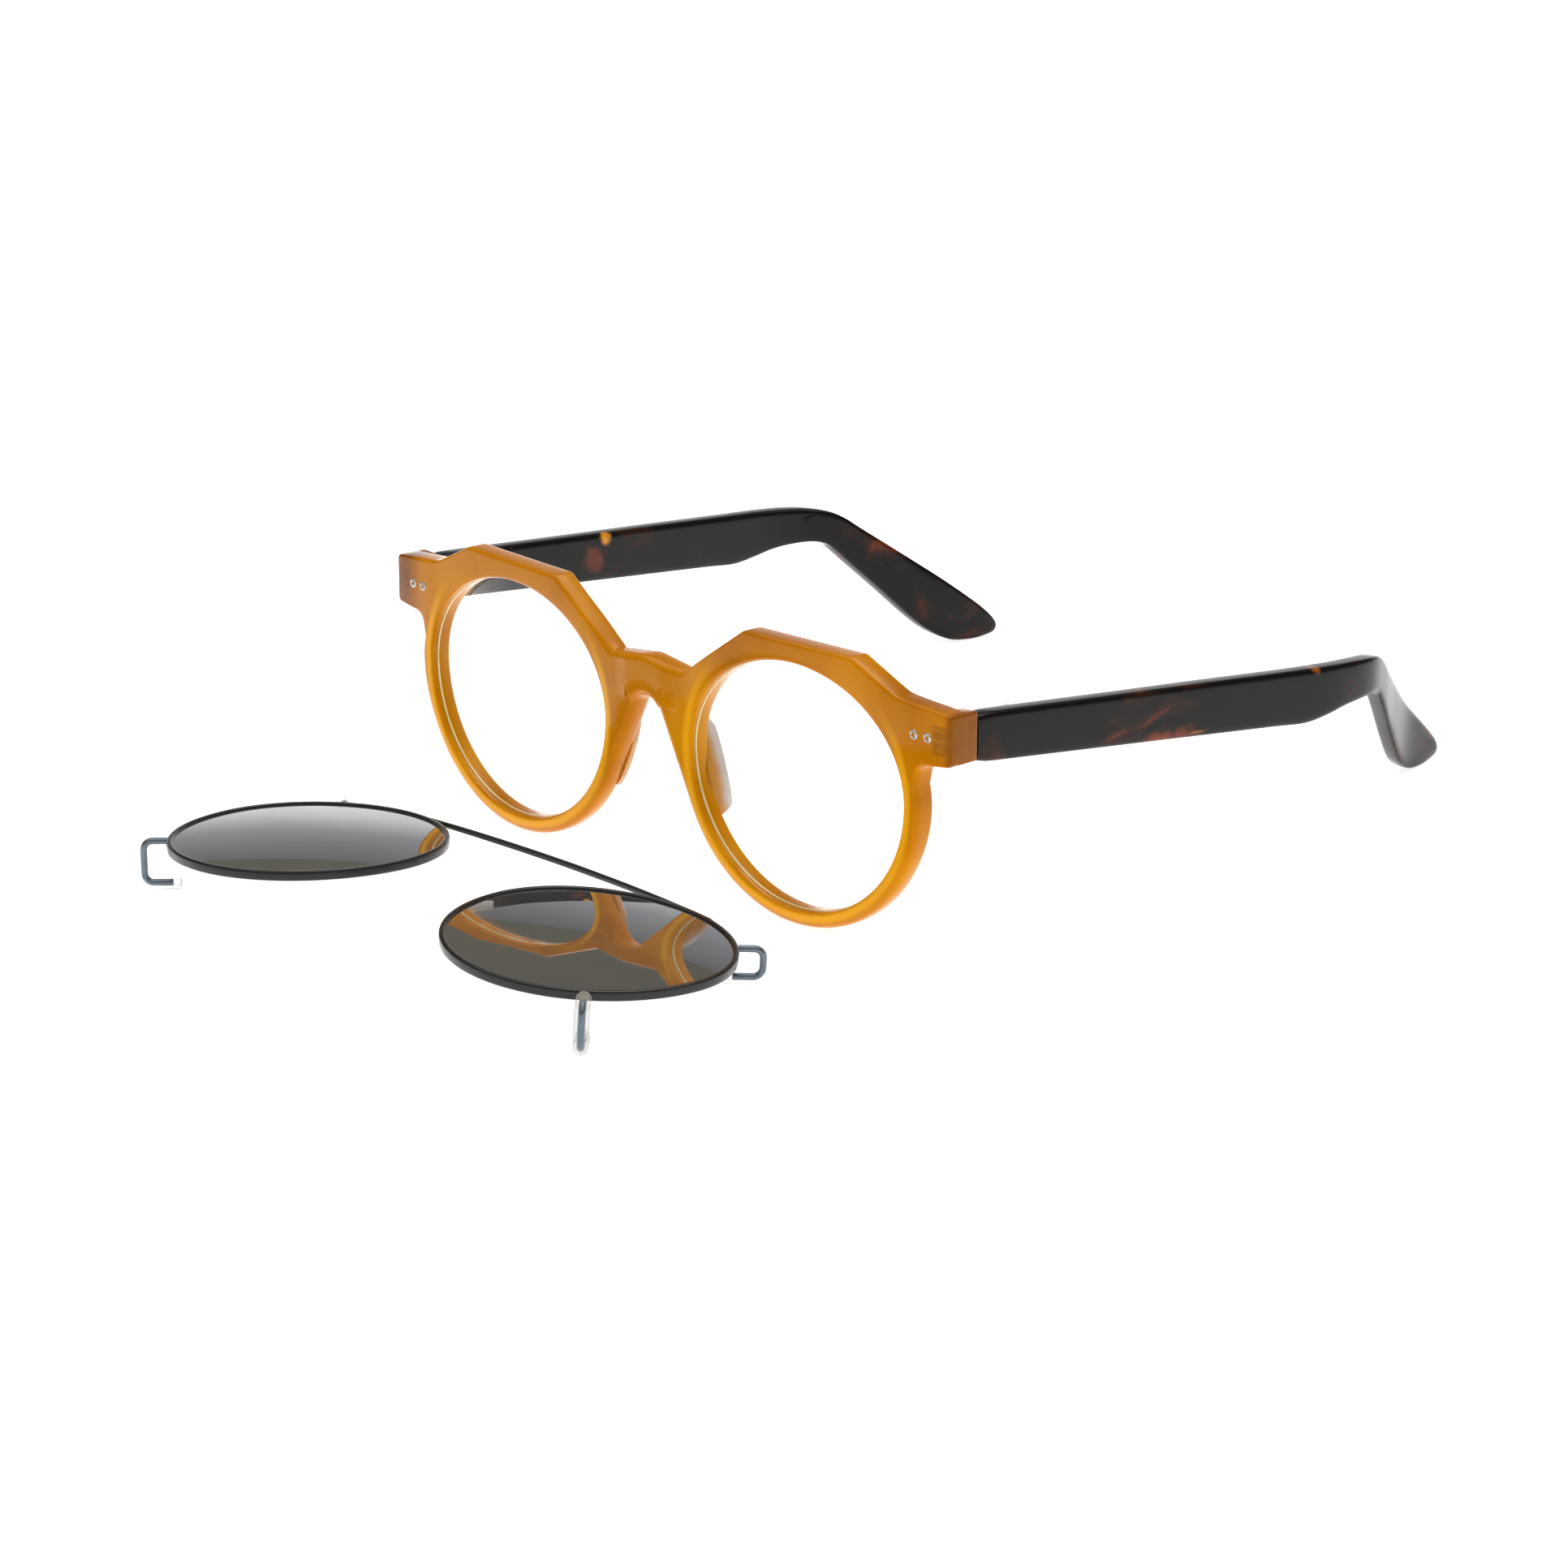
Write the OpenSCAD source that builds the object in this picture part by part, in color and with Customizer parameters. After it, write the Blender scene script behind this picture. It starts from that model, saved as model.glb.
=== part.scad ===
// Spectacles with a detached clip-on sun attachment lying in front of them.
// Millimetres, +Z up. The origin is the middle of the set's footprint, on the table.
// Left and right are the wearer's, so left is +X. The temples point to +Y.

/* [Front] */
// Distance from the middle of the bridge to the middle of each eye
eye_x = 34; // [33.5:0.25:34.5]
// Half the width of an eye opening
eye_half_w = 23.5; // [22.5:0.25:23.5]
// Height of an eye opening above its widest line
eye_up = 18.4; // [17:0.2:18.8]
// Depth of an eye opening below its widest line
eye_down = 22; // [21:0.5:22.5]
// Width of the rim beside and below an eye
rim_w = 2.8; // [2.4:0.1:3]
// Thickness of the front
front_t = 4.2; // [4:0.1:4.6]
// Radius of the front's curve from side to side
front_r = 770; // [600:10:1200]
// Thickness of a demo lens
demo_t = 1.6; // [1.2:0.1:1.8]

/* [Temples] */
// Thickness of a temple
temple_t = 4; // [3.6:0.1:4.4]
// Distance from the front's face to the temple's end face
temple_y = 9.05; // [9.05:0.05:9.2]
// How far the bend's inside lies behind the front's face
bend_y = 102.5; // [98:0.5:104]
// How far the tip lies behind the front's face
tip_y = 133.5; // [131:0.5:135]

/* [Hinges] */
// Distance of each hinge axis from the middle of the bridge
hinge_x = 61.9; // [61.8:0.05:61.95]
// Outside radius of the hinge knuckles
knuckle_r = 1.25; // [1.1:0.05:1.3]
// Radius of the hinge screw
screw_r = 0.6; // [0.5:0.05:0.7]
// Gap between screw and knuckle bore
screw_gap = 0.05; // [0.02:0.01:0.08]

/* [Clip-on] */
// Distance from the clip-on's middle to the middle of each of its lenses
clip_eye_x = 35; // [34.6:0.1:35.4]
// Half the outside width of a clip-on rim
clip_half_w = 24; // [23.6:0.1:24.2]
// Half the outside height of a clip-on rim
clip_half_h = 22.4; // [22:0.1:22.8]
// Height of a clip-on rim's wall
clip_rim_h = 1.6; // [1.6:0.05:1.8]
// Thickness of a clip-on rim's wall
clip_rim_t = 1; // [0.8:0.05:1.2]
// Thickness of a sun lens
sun_t = 1; // [0.8:0.1:1.2]
// How far each hook reaches out from its rim
hook_reach = 4.2; // [4:0.1:4.6]
// Radius of the hook wire
wire_r = 0.55; // [0.4:0.05:0.6]
// Outside radius of the clear sleeve on a hook
sleeve_r = 1.2; // [1.1:0.05:1.3]

/* [Placing] */
// Lean of the spectacles as they stand on rims and tips, in degrees
lean = 2.4; // [2.3:0.05:2.5]
// Distance from the foot of the rims to the clip-on's middle
clip_ahead = 45.5; // [45:0.5:60]
// Slope of the clip-on as it rests on its hooks, in degrees
clip_slope = 4; // [3.9:0.05:4.1]
// Height of the clip-on's lens centres above the table
clip_height = 9.1; // [9:0.05:9.2]
// How far the clip-on's middle lies to the right of the spectacles' middle
clip_side = 2.6; // [0:0.2:6]

/* [Hidden] */
$fn = 32;

// Front, in its own frame: x across, y back from the front's face, z up from the eyes
eye_z = 1.5;                    // widest line of the eyes
oval_steps = 72;                // sides of an oval outline
arc_steps = 6;                  // sides of a rounded corner
curve_fn = 720;                 // sides of the front's large curve
temporal_angle = 10;            // rim outline runs from here, outer side
nasal_angle = -156;             // to here, inner side
end_x = 67.3;                   // outside of an end piece
end_top_z = 17.9;
end_low_z = 9.6;
end_y = 9;                      // back of an end piece
groove_depth = 0.7;
groove_y = 1.3;                 // groove's front wall behind the front's face
fit_gap = 0.02;                 // play of glued and seated pieces
crown_points = [                // upper outline of the right half: x, z, corner radius
    [0, 14.5, 0], [8.6, 13.4, 2.5], [22.6, 23.1, 3], [46.6, 23.3, 4], [56.5, 18.5, 6],
    [end_x, end_top_z, 0.8], [end_x, end_low_z, 1.2], [60.4, 8.9, 2]];
nose_point = [1.95, 7.4, 3];    // corner of the arch over the nose
hinge_z = 13.75;
hinge_y = 9;

// Hinge leaves and rivets
leaf_h = 4.7;
leaf_in_x = 57.8;
leaf_out_x = 63.25;
leaf_y = 6.1;
leaf_t = 1.2;
knuckle_h = 1.55;               // each of the front leaf's two knuckles
middle_h = 1.8;                 // the temple leaf's knuckle
temple_leaf_x = [62.9, 64];
temple_leaf_y = [9.95, 19.5];    // starts outside the front leaf's knuckles
arm_y = 9.1;
screw_head_r = 1.1;
screw_head_h = 0.5;
rivet_x = [59.7, 62.5];
rivet_r = 0.5;
rivet_head_r = 0.83;
rivet_head_h = 0.5;
rivet_proud = 0.08;

// Nose pads: an oval at the rim's back runs into a smaller one behind it
pad_roll = 19;
pad_root = [8.3, -1.2];
pad_rear = [11, -2.4];
pad_root_size = [2.2, 8.6];
pad_rear_size = [1.3, 6.6];
pad_y = 7.3;
pad_slice = 0.2;
pad_gap = 0.14;                 // glue line, wide enough for the front's curved back

// Temples: side outline y, z, radius, and plan outline x, y, radius
tip_z = -18.15;
temple_side = [
    [temple_y, 17.3, 0.5], [84, 10.8, 40], [bend_y, 9.2, 9], [tip_y, -15, 2.4],
    [tip_y - 4.9, tip_z - 0.3, 4], [tip_y - 13.5, -16.4, 6], [bend_y, 3.1, 6],
    [91.5, 3, 8], [82, 1.7, 5], [temple_y, 9.2, 0.5]];
temple_plan_outer = [[67.3, temple_y, 0], [71.7, 93, 30], [58, 121, 15], [55.3, 136, 0]];
core_r = 0.7;
core_start = [65.8, 19.6, 12.7];
core_end = [69, 80, 7];

// Clip-on, in its own frame: x across, y to its top edge, z out of its face
face_form = 3.2;                // turn of each half of the clip-on, in degrees
sun_drop = 0.3;                 // sun lens below the rim's top
sun_groove = 0.4;
clip_up = 0.456 * 2 * clip_half_h;
clip_down = 2 * clip_half_h - clip_up;
clip_mid = clip_half_h - clip_up;
bar_half = 39.5;
bar_rise = 2.2;                 // arch of the bar at its middle
bar_t = 0.8;
bar_h = 1;
bar_steps = 24;
bar_sink = 0.55;                // the bar's ends lie this far below the rims' tops
hook_bend = 1.5;                // radius of the wire's bends
hook_root = 0.3;                // solder joint: the wire's bite into the rim
hook_z = -1;
upper_angle = 53;
lower_angle = -44.5;
upper_drop = 4.6;
lower_drop = 7;
hook_back = 3.2;
sleeve_extra = 1.3;             // sleeve past the wire's tip
sleeve_start = 0.35;
sleeve_gap = 0.02;

// Places on the table
foot = [0, 4.95, -23.3];           // where the rims touch the table, in the front's frame
set_y = -29.6;                  // from the foot of the rims to the set's middle

function unit(v) = v / norm(v);
function flat(p) = [p.x, p.y];
function turn(a) = a > 180 ? a - 360 : a < -180 ? a + 360 : a;

// Arc of radius r that rounds corner b between its neighbours a and c
function corner(a, b, c, r) =
    r <= 0 ? [b] :
    let (
        u = unit(a - b),
        v = unit(c - b),
        half = acos(u * v) / 2,
        middle = b + unit(u + v) * r / sin(half),
        from = b + u * r / tan(half) - middle,
        to = b + v * r / tan(half) - middle,
        start = atan2(from.y, from.x),
        sweep = turn(atan2(to.y, to.x) - start))
    [for (k = [0:arc_steps])
        middle + r * [cos(start + sweep * k / arc_steps), sin(start + sweep * k / arc_steps)]];

// Closed outline from points that carry their own corner radius
function rounded(p) =
    let (n = len(p))
    [for (i = [0:n - 1])
        each corner(flat(p[(i + n - 1) % n]), flat(p[i]), flat(p[(i + 1) % n]), p[i].z)];

// Point of an eye-shaped oval at an angle: one half-ellipse above, another below
function eye_point(angle, half_w, up, down) =
    [half_w * cos(angle), (sin(angle) > 0 ? up : down) * sin(angle)];
function eye_shape(half_w, up, down) =
    [for (k = [0:oval_steps - 1]) eye_point(360 * k / oval_steps, half_w, up, down)];

function mirrored(p) = [for (i = [len(p) - 1:-1:0]) if (p[i].x > 0) [-p[i].x, p[i].y, p[i].z]];

rim_points = [for (a = [temporal_angle:-4:nasal_angle])
    let (p = eye_point(a, eye_half_w + rim_w, eye_up + rim_w, eye_down + rim_w))
    [eye_x + p.x, eye_z + p.y, 0]];
half_front = concat(crown_points, rim_points, [nose_point]);
front_outline = rounded(concat(half_front, mirrored(half_front)));
temple_plan = rounded(concat(temple_plan_outer,
    [for (i = [len(temple_plan_outer) - 1:-1:0])
        [temple_plan_outer[i].x - temple_t, temple_plan_outer[i].y, temple_plan_outer[i].z]]));
temple_outline = rounded(temple_side);

// Shape drawn in x and z, filled from y = low to y = high
module upright(low, high) {
    translate([0, high, 0]) rotate([90, 0, 0]) linear_extrude(high - low) children();
}

// Space between two depths behind the front's curved face
module curved_slab(low, high) {
    translate([0, front_r, -40]) difference() {
        cylinder(r = front_r - low, h = 80, $fn = curve_fn);
        translate([0, 0, -1]) cylinder(r = front_r - high, h = 82, $fn = curve_fn);
    }
}

module on_table() {
    translate([0, set_y, 0]) rotate([-lean, 0, 0]) translate(-foot) children();
}

module mirror_if(right) {
    mirror([right ? 1 : 0, 0, 0]) children();
}

module eye_hole(extra) {
    translate([eye_x, eye_z]) polygon(eye_shape(eye_half_w + extra, eye_up + extra, eye_down + extra));
}

module lens_slab(play) {
    intersection() {
        upright(-1, 9) eye_hole(groove_depth + play);
        curved_slab(groove_y - play, groove_y + demo_t + play);
    }
}

module front_leaf_pocket() {
    translate([leaf_in_x, leaf_y, hinge_z - leaf_h / 2])
        cube([leaf_out_x - leaf_in_x, 4, leaf_h]);
}

module rivet_pair(play) {
    for (x = rivet_x)
        translate([x, x * x / (2 * front_r), hinge_z]) rotate([-90, 0, 0]) {
            translate([0, 0, -rivet_proud]) cylinder(r = rivet_head_r + play, h = rivet_head_h);
            cylinder(r = rivet_r + play, h = leaf_y + leaf_t - x * x / (2 * front_r));
        }
}

module end_piece() {
    intersection() {
        upright(0, end_y) polygon(rounded([
            [end_x - temple_t, end_low_z, 0], [end_x - temple_t, end_top_z, 0],
            [end_x, end_top_z, 0.8], [end_x, end_low_z, 1.2]]));
        translate([0, front_r, -40]) cylinder(r = front_r, h = 80, $fn = curve_fn);
    }
}

module front() {
    color([0.82, 0.5, 0.06, 0.9]) on_table() difference() {
        union() {
            intersection() {
                upright(-1, 9) polygon(front_outline);
                curved_slab(0, front_t);
            }
            for (right = [false, true]) mirror_if(right) end_piece();
        }
        for (right = [false, true]) mirror_if(right) {
            upright(-2, 12) eye_hole(0);
            lens_slab(fit_gap);
            front_leaf_pocket();
            rivet_pair(fit_gap);
        }
    }
}

module demo_lens(right) {
    color([0.93, 0.96, 0.97, 0.3]) on_table() mirror_if(right) lens_slab(0);
}

module nose_pad(right) {
    root_y = front_t + pad_gap;
    color([0.9, 0.88, 0.84, 0.8]) on_table() mirror_if(right) hull() {
        upright(root_y, root_y + pad_slice) translate(pad_root) rotate(pad_roll)
            polygon(eye_shape(pad_root_size.x, pad_root_size.y, pad_root_size.y));
        upright(pad_y - pad_slice, pad_y) translate(pad_rear) rotate(pad_roll)
            polygon(eye_shape(pad_rear_size.x, pad_rear_size.y, pad_rear_size.y));
    }
}

module rivets(right) {
    color([0.75, 0.75, 0.77]) on_table() mirror_if(right) rivet_pair(0);
}

module knuckle(low, high) {
    translate([hinge_x, hinge_y, low]) cylinder(r = knuckle_r, h = high - low);
}

module screw_bore() {
    translate([hinge_x, hinge_y, 0]) cylinder(r = screw_r + screw_gap, h = 30);
}

module front_leaf(right) {
    knuckle_low = hinge_z - leaf_h / 2 - 0.15;
    color([0.3, 0.3, 0.32]) on_table() mirror_if(right) difference() {
        union() {
            translate([leaf_in_x, leaf_y, hinge_z - leaf_h / 2])
                cube([leaf_out_x - leaf_in_x, leaf_t, leaf_h]);
            for (low = [knuckle_low, 2 * hinge_z - knuckle_low - knuckle_h]) {
                knuckle(low, low + knuckle_h);
                translate([hinge_x - knuckle_r, leaf_y + leaf_t, low])
                    cube([2 * knuckle_r, hinge_y - leaf_y - leaf_t, knuckle_h]);
            }
        }
        screw_bore();
        rivet_pair(fit_gap);
    }
}

module hinge_screw(right) {
    length = leaf_h + 0.3;
    color([0.7, 0.7, 0.72]) on_table() mirror_if(right)
        translate([hinge_x, hinge_y, hinge_z - length / 2]) {
            cylinder(r = screw_r, h = length);
            translate([0, 0, length]) cylinder(r = screw_head_r, h = screw_head_h);
        }
}

module temple_leaf_plate() {
    translate([temple_leaf_x[0], temple_leaf_y[0], hinge_z - leaf_h / 2])
        cube([temple_leaf_x[1] - temple_leaf_x[0], temple_leaf_y[1] - temple_leaf_y[0], leaf_h]);
    translate([hinge_x, arm_y, hinge_z - middle_h / 2])
        cube([temple_leaf_x[1] - hinge_x, temple_leaf_y[0] - arm_y, middle_h]);
}

module temple_leaf(right) {
    color([0.8, 0.78, 0.72]) on_table() mirror_if(right) difference() {
        union() {
            temple_leaf_plate();
            knuckle(hinge_z - middle_h / 2, hinge_z + middle_h / 2);
        }
        screw_bore();
    }
}

module core_rod() {
    run = core_end - core_start;
    translate(core_start)
        rotate([0, acos(run.z / norm(run)), atan2(run.y, run.x)])
            cylinder(r = core_r, h = norm(run));
}

module core_wire(right) {
    color([0.6, 0.6, 0.62]) on_table() mirror_if(right) core_rod();
}

module temple(right) {
    color([0.12, 0.07, 0.05]) on_table() mirror_if(right) difference() {
        intersection() {
            rotate([90, 0, 90]) linear_extrude(90) polygon(temple_outline);
            translate([0, 0, -30]) linear_extrude(60) polygon(temple_plan);
        }
        temple_leaf_plate();
        core_rod();
    }
}

module clip_on_table() {
    translate([-clip_side, set_y - clip_ahead, clip_height]) rotate([-clip_slope, 0, 0]) children();
}

module clip_half(right) {
    clip_on_table() mirror_if(right) translate([clip_eye_x, 0, 0]) rotate([0, face_form, 0])
        children();
}

// Outline of the clip-on's rim, smaller by inset
module clip_shape(inset) {
    translate([0, clip_mid])
        polygon(eye_shape(clip_half_w - inset, clip_up - inset, clip_down - inset));
}

module clip_rim(right) {
    color([0.06, 0.06, 0.06]) clip_half(right) difference() {
        translate([0, 0, -clip_rim_h]) linear_extrude(clip_rim_h) clip_shape(0);
        translate([0, 0, -clip_rim_h - 1]) linear_extrude(clip_rim_h + 2) clip_shape(clip_rim_t);
        translate([0, 0, -sun_drop - sun_t - fit_gap]) linear_extrude(sun_t + 2 * fit_gap)
            clip_shape(clip_rim_t - sun_groove - fit_gap);
    }
}

module sun_lens(right) {
    color([0.25, 0.25, 0.22, 0.85]) clip_half(right)
        translate([0, 0, -sun_drop - sun_t]) linear_extrude(sun_t)
            clip_shape(clip_rim_t - sun_groove);
}

module clip_bar() {
    low = clip_half_h - bar_sink;
    curve = [for (k = [-bar_steps:bar_steps])
        let (f = k / bar_steps) [f * bar_half, low + bar_rise * (1 - f * f)]];
    color([0.06, 0.06, 0.06]) clip_on_table()
        translate([0, 0, -bar_h - 0.3]) linear_extrude(bar_h)
            polygon(concat(curve, [for (k = [len(curve) - 1:-1:0]) curve[k] + [0, bar_t]]));
}

// Rod bent into a square hook: out along x, down z, and back
module bent_rod(r, start, drop, back) {
    run = hook_reach - hook_bend;
    translate([start, 0, 0]) rotate([0, 90, 0]) cylinder(r = r, h = run - start);
    translate([run, 0, -hook_bend]) rotate([90, 0, 0])
        rotate_extrude(angle = 90, $fn = 48) translate([hook_bend, 0]) circle(r);
    translate([hook_reach, 0, hook_bend - drop]) cylinder(r = r, h = drop - 2 * hook_bend);
    translate([run, 0, hook_bend - drop]) rotate([90, 90, 0])
        rotate_extrude(angle = 90, $fn = 48) translate([hook_bend, 0]) circle(r);
    translate([run - back, 0, -drop]) rotate([0, 90, 0]) cylinder(r = r, h = back);
}

module at_hook(right, upper) {
    angle = upper ? upper_angle : lower_angle;
    root = eye_point(angle, clip_half_w, clip_up, clip_down);
    clip_half(right) translate([root.x, root.y + clip_mid, hook_z]) rotate([0, 0, angle])
        children();
}

module hook(right, upper) {
    color([0.55, 0.6, 0.66]) at_hook(right, upper)
        bent_rod(wire_r, -hook_root, upper ? upper_drop : lower_drop, hook_back);
}

module sleeve(right, upper) {
    drop = upper ? upper_drop : lower_drop;
    color([0.92, 0.91, 0.88, 0.5]) at_hook(right, upper) difference() {
        bent_rod(sleeve_r, sleeve_start, drop, hook_back + sleeve_extra);
        bent_rod(wire_r + sleeve_gap, sleeve_start - 1, drop, hook_back + sleeve_extra + 1);
    }
}

front();
demo_lens(false);  // left_demo_lens
demo_lens(true);  // right_demo_lens
nose_pad(false);  // left_nose_pad
nose_pad(true);  // right_nose_pad
rivets(false);  // left_rivets
rivets(true);  // right_rivets
front_leaf(false);  // left_front_leaf
front_leaf(true);  // right_front_leaf
hinge_screw(false);  // left_hinge_screw
hinge_screw(true);  // right_hinge_screw
temple_leaf(false);  // left_temple_leaf
temple_leaf(true);  // right_temple_leaf
temple(false);  // left_temple
temple(true);  // right_temple
core_wire(false);  // left_core_wire
core_wire(true);  // right_core_wire
clip_rim(false);  // left_clip_rim
clip_rim(true);  // right_clip_rim
sun_lens(false);  // left_sun_lens
sun_lens(true);  // right_sun_lens
clip_bar();
hook(false, true);  // left_upper_hook
hook(true, true);  // right_upper_hook
hook(false, false);  // left_lower_hook
hook(true, false);  // right_lower_hook
sleeve(false, true);  // left_upper_sleeve
sleeve(true, true);  // right_upper_sleeve
sleeve(false, false);  // left_lower_sleeve
sleeve(true, false);  // right_lower_sleeve
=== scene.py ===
import math
import bmesh
import bpy
from mathutils import Matrix, Vector


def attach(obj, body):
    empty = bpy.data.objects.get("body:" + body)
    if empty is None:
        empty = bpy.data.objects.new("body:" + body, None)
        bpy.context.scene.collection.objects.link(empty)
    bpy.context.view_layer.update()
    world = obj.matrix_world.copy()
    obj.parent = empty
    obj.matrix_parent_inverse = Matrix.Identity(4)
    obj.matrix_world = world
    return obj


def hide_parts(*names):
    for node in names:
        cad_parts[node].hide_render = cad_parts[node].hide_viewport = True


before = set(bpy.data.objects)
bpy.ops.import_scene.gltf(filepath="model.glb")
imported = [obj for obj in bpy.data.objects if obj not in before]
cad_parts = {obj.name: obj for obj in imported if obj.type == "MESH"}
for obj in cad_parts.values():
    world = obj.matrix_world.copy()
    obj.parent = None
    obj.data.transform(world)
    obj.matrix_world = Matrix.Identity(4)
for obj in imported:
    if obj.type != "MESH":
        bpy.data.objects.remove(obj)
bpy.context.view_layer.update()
print("frame loaded:", len(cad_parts), "nodes")

# Pieces are drawn in millimetres in the frame of the thing they belong to, then placed in metres
setting = {
    "lean": 2.4,                    # degrees, the spectacles stand on rims and temple tips
    "foot": (0, 4.95, -23.3),       # where the rims touch the table
    "footY": -29.6,                 # where that point stands, from front to back
    "clipAt": (-2.6, -75.1, 9.1),
    "clipSlope": 4.0,               # degrees
    "frontRadius": 770.0,           # the front's curve from side to side
}
metres = Matrix.Scale(0.001, 4)
glassesPlace = (metres @ Matrix.Translation((0, setting["footY"], 0))
                @ Matrix.Rotation(math.radians(-setting["lean"]), 4, "X")
                @ Matrix.Translation(-Vector(setting["foot"])))
clipPlace = (metres @ Matrix.Translation(setting["clipAt"])
             @ Matrix.Rotation(math.radians(-setting["clipSlope"]), 4, "X"))
sides = (("left", 1), ("right", -1))
eye = {"x": 34.0, "z": 1.5, "half": 23.5, "up": 18.4, "down": 22.0}


def mirrored(sign):
    return Matrix.Scale(sign, 4, (1, 0, 0))


def finishPiece(bm, name, place, body, finishes, node=None, sharp=40):
    bmesh.ops.remove_doubles(bm, verts=bm.verts, dist=1e-4)
    bmesh.ops.transform(bm, matrix=place, verts=bm.verts)
    bmesh.ops.recalc_face_normals(bm, faces=bm.faces)
    mesh = bpy.data.meshes.new(name)
    bm.to_mesh(mesh)
    bm.free()
    for key in finishes:
        mesh.materials.append(finish[key])
    mesh.shade_smooth()
    mesh.set_sharp_from_angle(angle=math.radians(sharp))
    piece = bpy.data.objects.new(name, mesh)
    bpy.context.scene.collection.objects.link(piece)
    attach(piece, body)
    if node:
        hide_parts(node)


def addLoop(bm, points):
    verts = [bm.verts.new(p) for p in points]
    return [bm.edges.new((verts[i - 1], verts[i])) for i in range(len(verts))]


def loft(bm, rings, capped=True, closed=False):
    loops = [addLoop(bm, ring) for ring in rings]
    for low, high in zip(loops, loops[1:] + loops[:1] if closed else loops[1:]):
        bmesh.ops.bridge_loops(bm, edges=low + high)
    if capped:
        bmesh.ops.holes_fill(bm, edges=loops[0] + loops[-1], sides=0)
    return loops


def joinInto(bm, other):
    mesh = bpy.data.meshes.new("joined")
    other.to_mesh(mesh)
    other.free()
    bm.from_mesh(mesh)
    bpy.data.meshes.remove(mesh)


def roundEdges(bm, edges, offset, segments=3):
    bmesh.ops.bevel(bm, geom=edges, offset=offset, offset_type="OFFSET", segments=segments, profile=0.5,
                    affect="EDGES", material=-1)


def ovalPoint(angle, half, up, down):
    return half * math.cos(angle), (up if math.sin(angle) > 0 else down) * math.sin(angle)


def eyeLoop(extra, count=144):
    angles = [2 * math.pi * k / count for k in range(count)]
    oval = [ovalPoint(a, eye["half"] + extra, eye["up"] + extra, eye["down"] + extra) for a in angles]
    return [(eye["x"] + x, eye["z"] + z) for x, z in oval]


def bowed(x, depth, z):
    return Vector((x, depth + x * x / (2 * setting["frontRadius"]), z))


def roundCorners(points, steps=5):  # points carry x, z and a corner radius
    out, n = [], len(points)
    for i in range(n):
        a, b, c = (Vector(points[j % n][:2]) for j in (i - 1, i, i + 1))
        radius = points[i][2]
        if radius <= 0:
            out.append(tuple(b))
            continue
        u, v = (a - b).normalized(), (c - b).normalized()
        half = math.acos(max(-1.0, min(1.0, u.dot(v)))) / 2
        middle = b + (u + v).normalized() * (radius / math.sin(half))
        first = b + u * (radius / math.tan(half)) - middle
        last = b + v * (radius / math.tan(half)) - middle
        start = math.atan2(first.y, first.x)
        sweep = (math.atan2(last.y, last.x) - start + math.pi) % (2 * math.pi) - math.pi
        for k in range(steps + 1):
            t = start + sweep * k / steps
            out.append((middle.x + radius * math.cos(t), middle.y + radius * math.sin(t)))
    return out


def spread(points, spacing):  # adds points along long straight edges
    out = []
    for a, b in zip(points, points[1:] + points[:1]):
        a, b = Vector(a), Vector(b)
        count = max(1, round((b - a).length / spacing))
        out += [tuple(a.lerp(b, k / count)) for k in range(count)]
    return out


def insetBy(points, distances):  # closed outline moved inwards, corners mitred
    out, n = [], len(points)
    for i in range(n):
        a, b, c = (Vector(points[j % n]) for j in (i - 1, i, i + 1))
        u, v = (b - a).normalized(), (c - b).normalized()
        miter = Vector((-u.y - v.y, u.x + v.x))
        miter *= 2.0 / max(miter.length_squared, 1e-6)
        if miter.length > 1.7:
            miter *= 1.7 / miter.length
        out.append(tuple(b + miter * distances[i]))
    return out


def smoothStep(low, high, value):
    f = max(0.0, min(1.0, (value - low) / (high - low)))
    return f * f * (3 - 2 * f)


# Small helpers for shader nodes
def newMaterial(name):
    material = bpy.data.materials.new(name)
    material.use_nodes = True
    tree = material.node_tree
    tree.nodes.clear()
    output = tree.nodes.new("ShaderNodeOutputMaterial")
    shader = tree.nodes.new("ShaderNodeBsdfPrincipled")
    tree.links.new(shader.outputs[0], output.inputs[0])
    return material, tree, shader


def plug(tree, socket, value):
    if hasattr(value, "links"):
        tree.links.new(value, socket)
    else:
        socket.default_value = value


def add(tree, kind, inputs=None, **settings):
    node = tree.nodes.new("ShaderNode" + kind)
    for key, value in settings.items():
        setattr(node, key, value)
    for key, value in (inputs or {}).items():
        plug(tree, node.inputs[key], value)
    return node


def sums(tree, operation, a, b=0.0, clamp=False):
    return add(tree, "Math", {0: a, 1: b}, operation=operation, use_clamp=clamp).outputs[0]


def plus(tree, a, b):
    return sums(tree, "ADD", a, b)


def times(tree, a, b):
    return sums(tree, "MULTIPLY", a, b)


def mixed(tree, factor, a, b):
    return add(tree, "Mix", {0: factor, 6: a, 7: b}, data_type="RGBA").outputs[2]


def ramp(tree, factor, stops, interpolation="EASE"):
    node = add(tree, "ValToRGB", {0: factor})
    node.color_ramp.interpolation = interpolation
    while len(node.color_ramp.elements) < len(stops):
        node.color_ramp.elements.new(0.5)
    for element, (position, color) in zip(node.color_ramp.elements, stops):
        element.position = position
        element.color = (*color, 1)
    return node.outputs[0]


def fade(tree, value, low, high, start=0.0, end=1.0):
    inputs = {0: value, 1: low, 2: high, 3: start, 4: end}
    return add(tree, "MapRange", inputs, interpolation_type="SMOOTHSTEP").outputs[0]


def noise(tree, coords, scale, detail=3.0, roughness=0.5, twist=0.0):
    inputs = {"Vector": coords, "Scale": scale, "Detail": detail, "Roughness": roughness,
              "Distortion": twist}
    return add(tree, "TexNoise", inputs).outputs[0]


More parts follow.
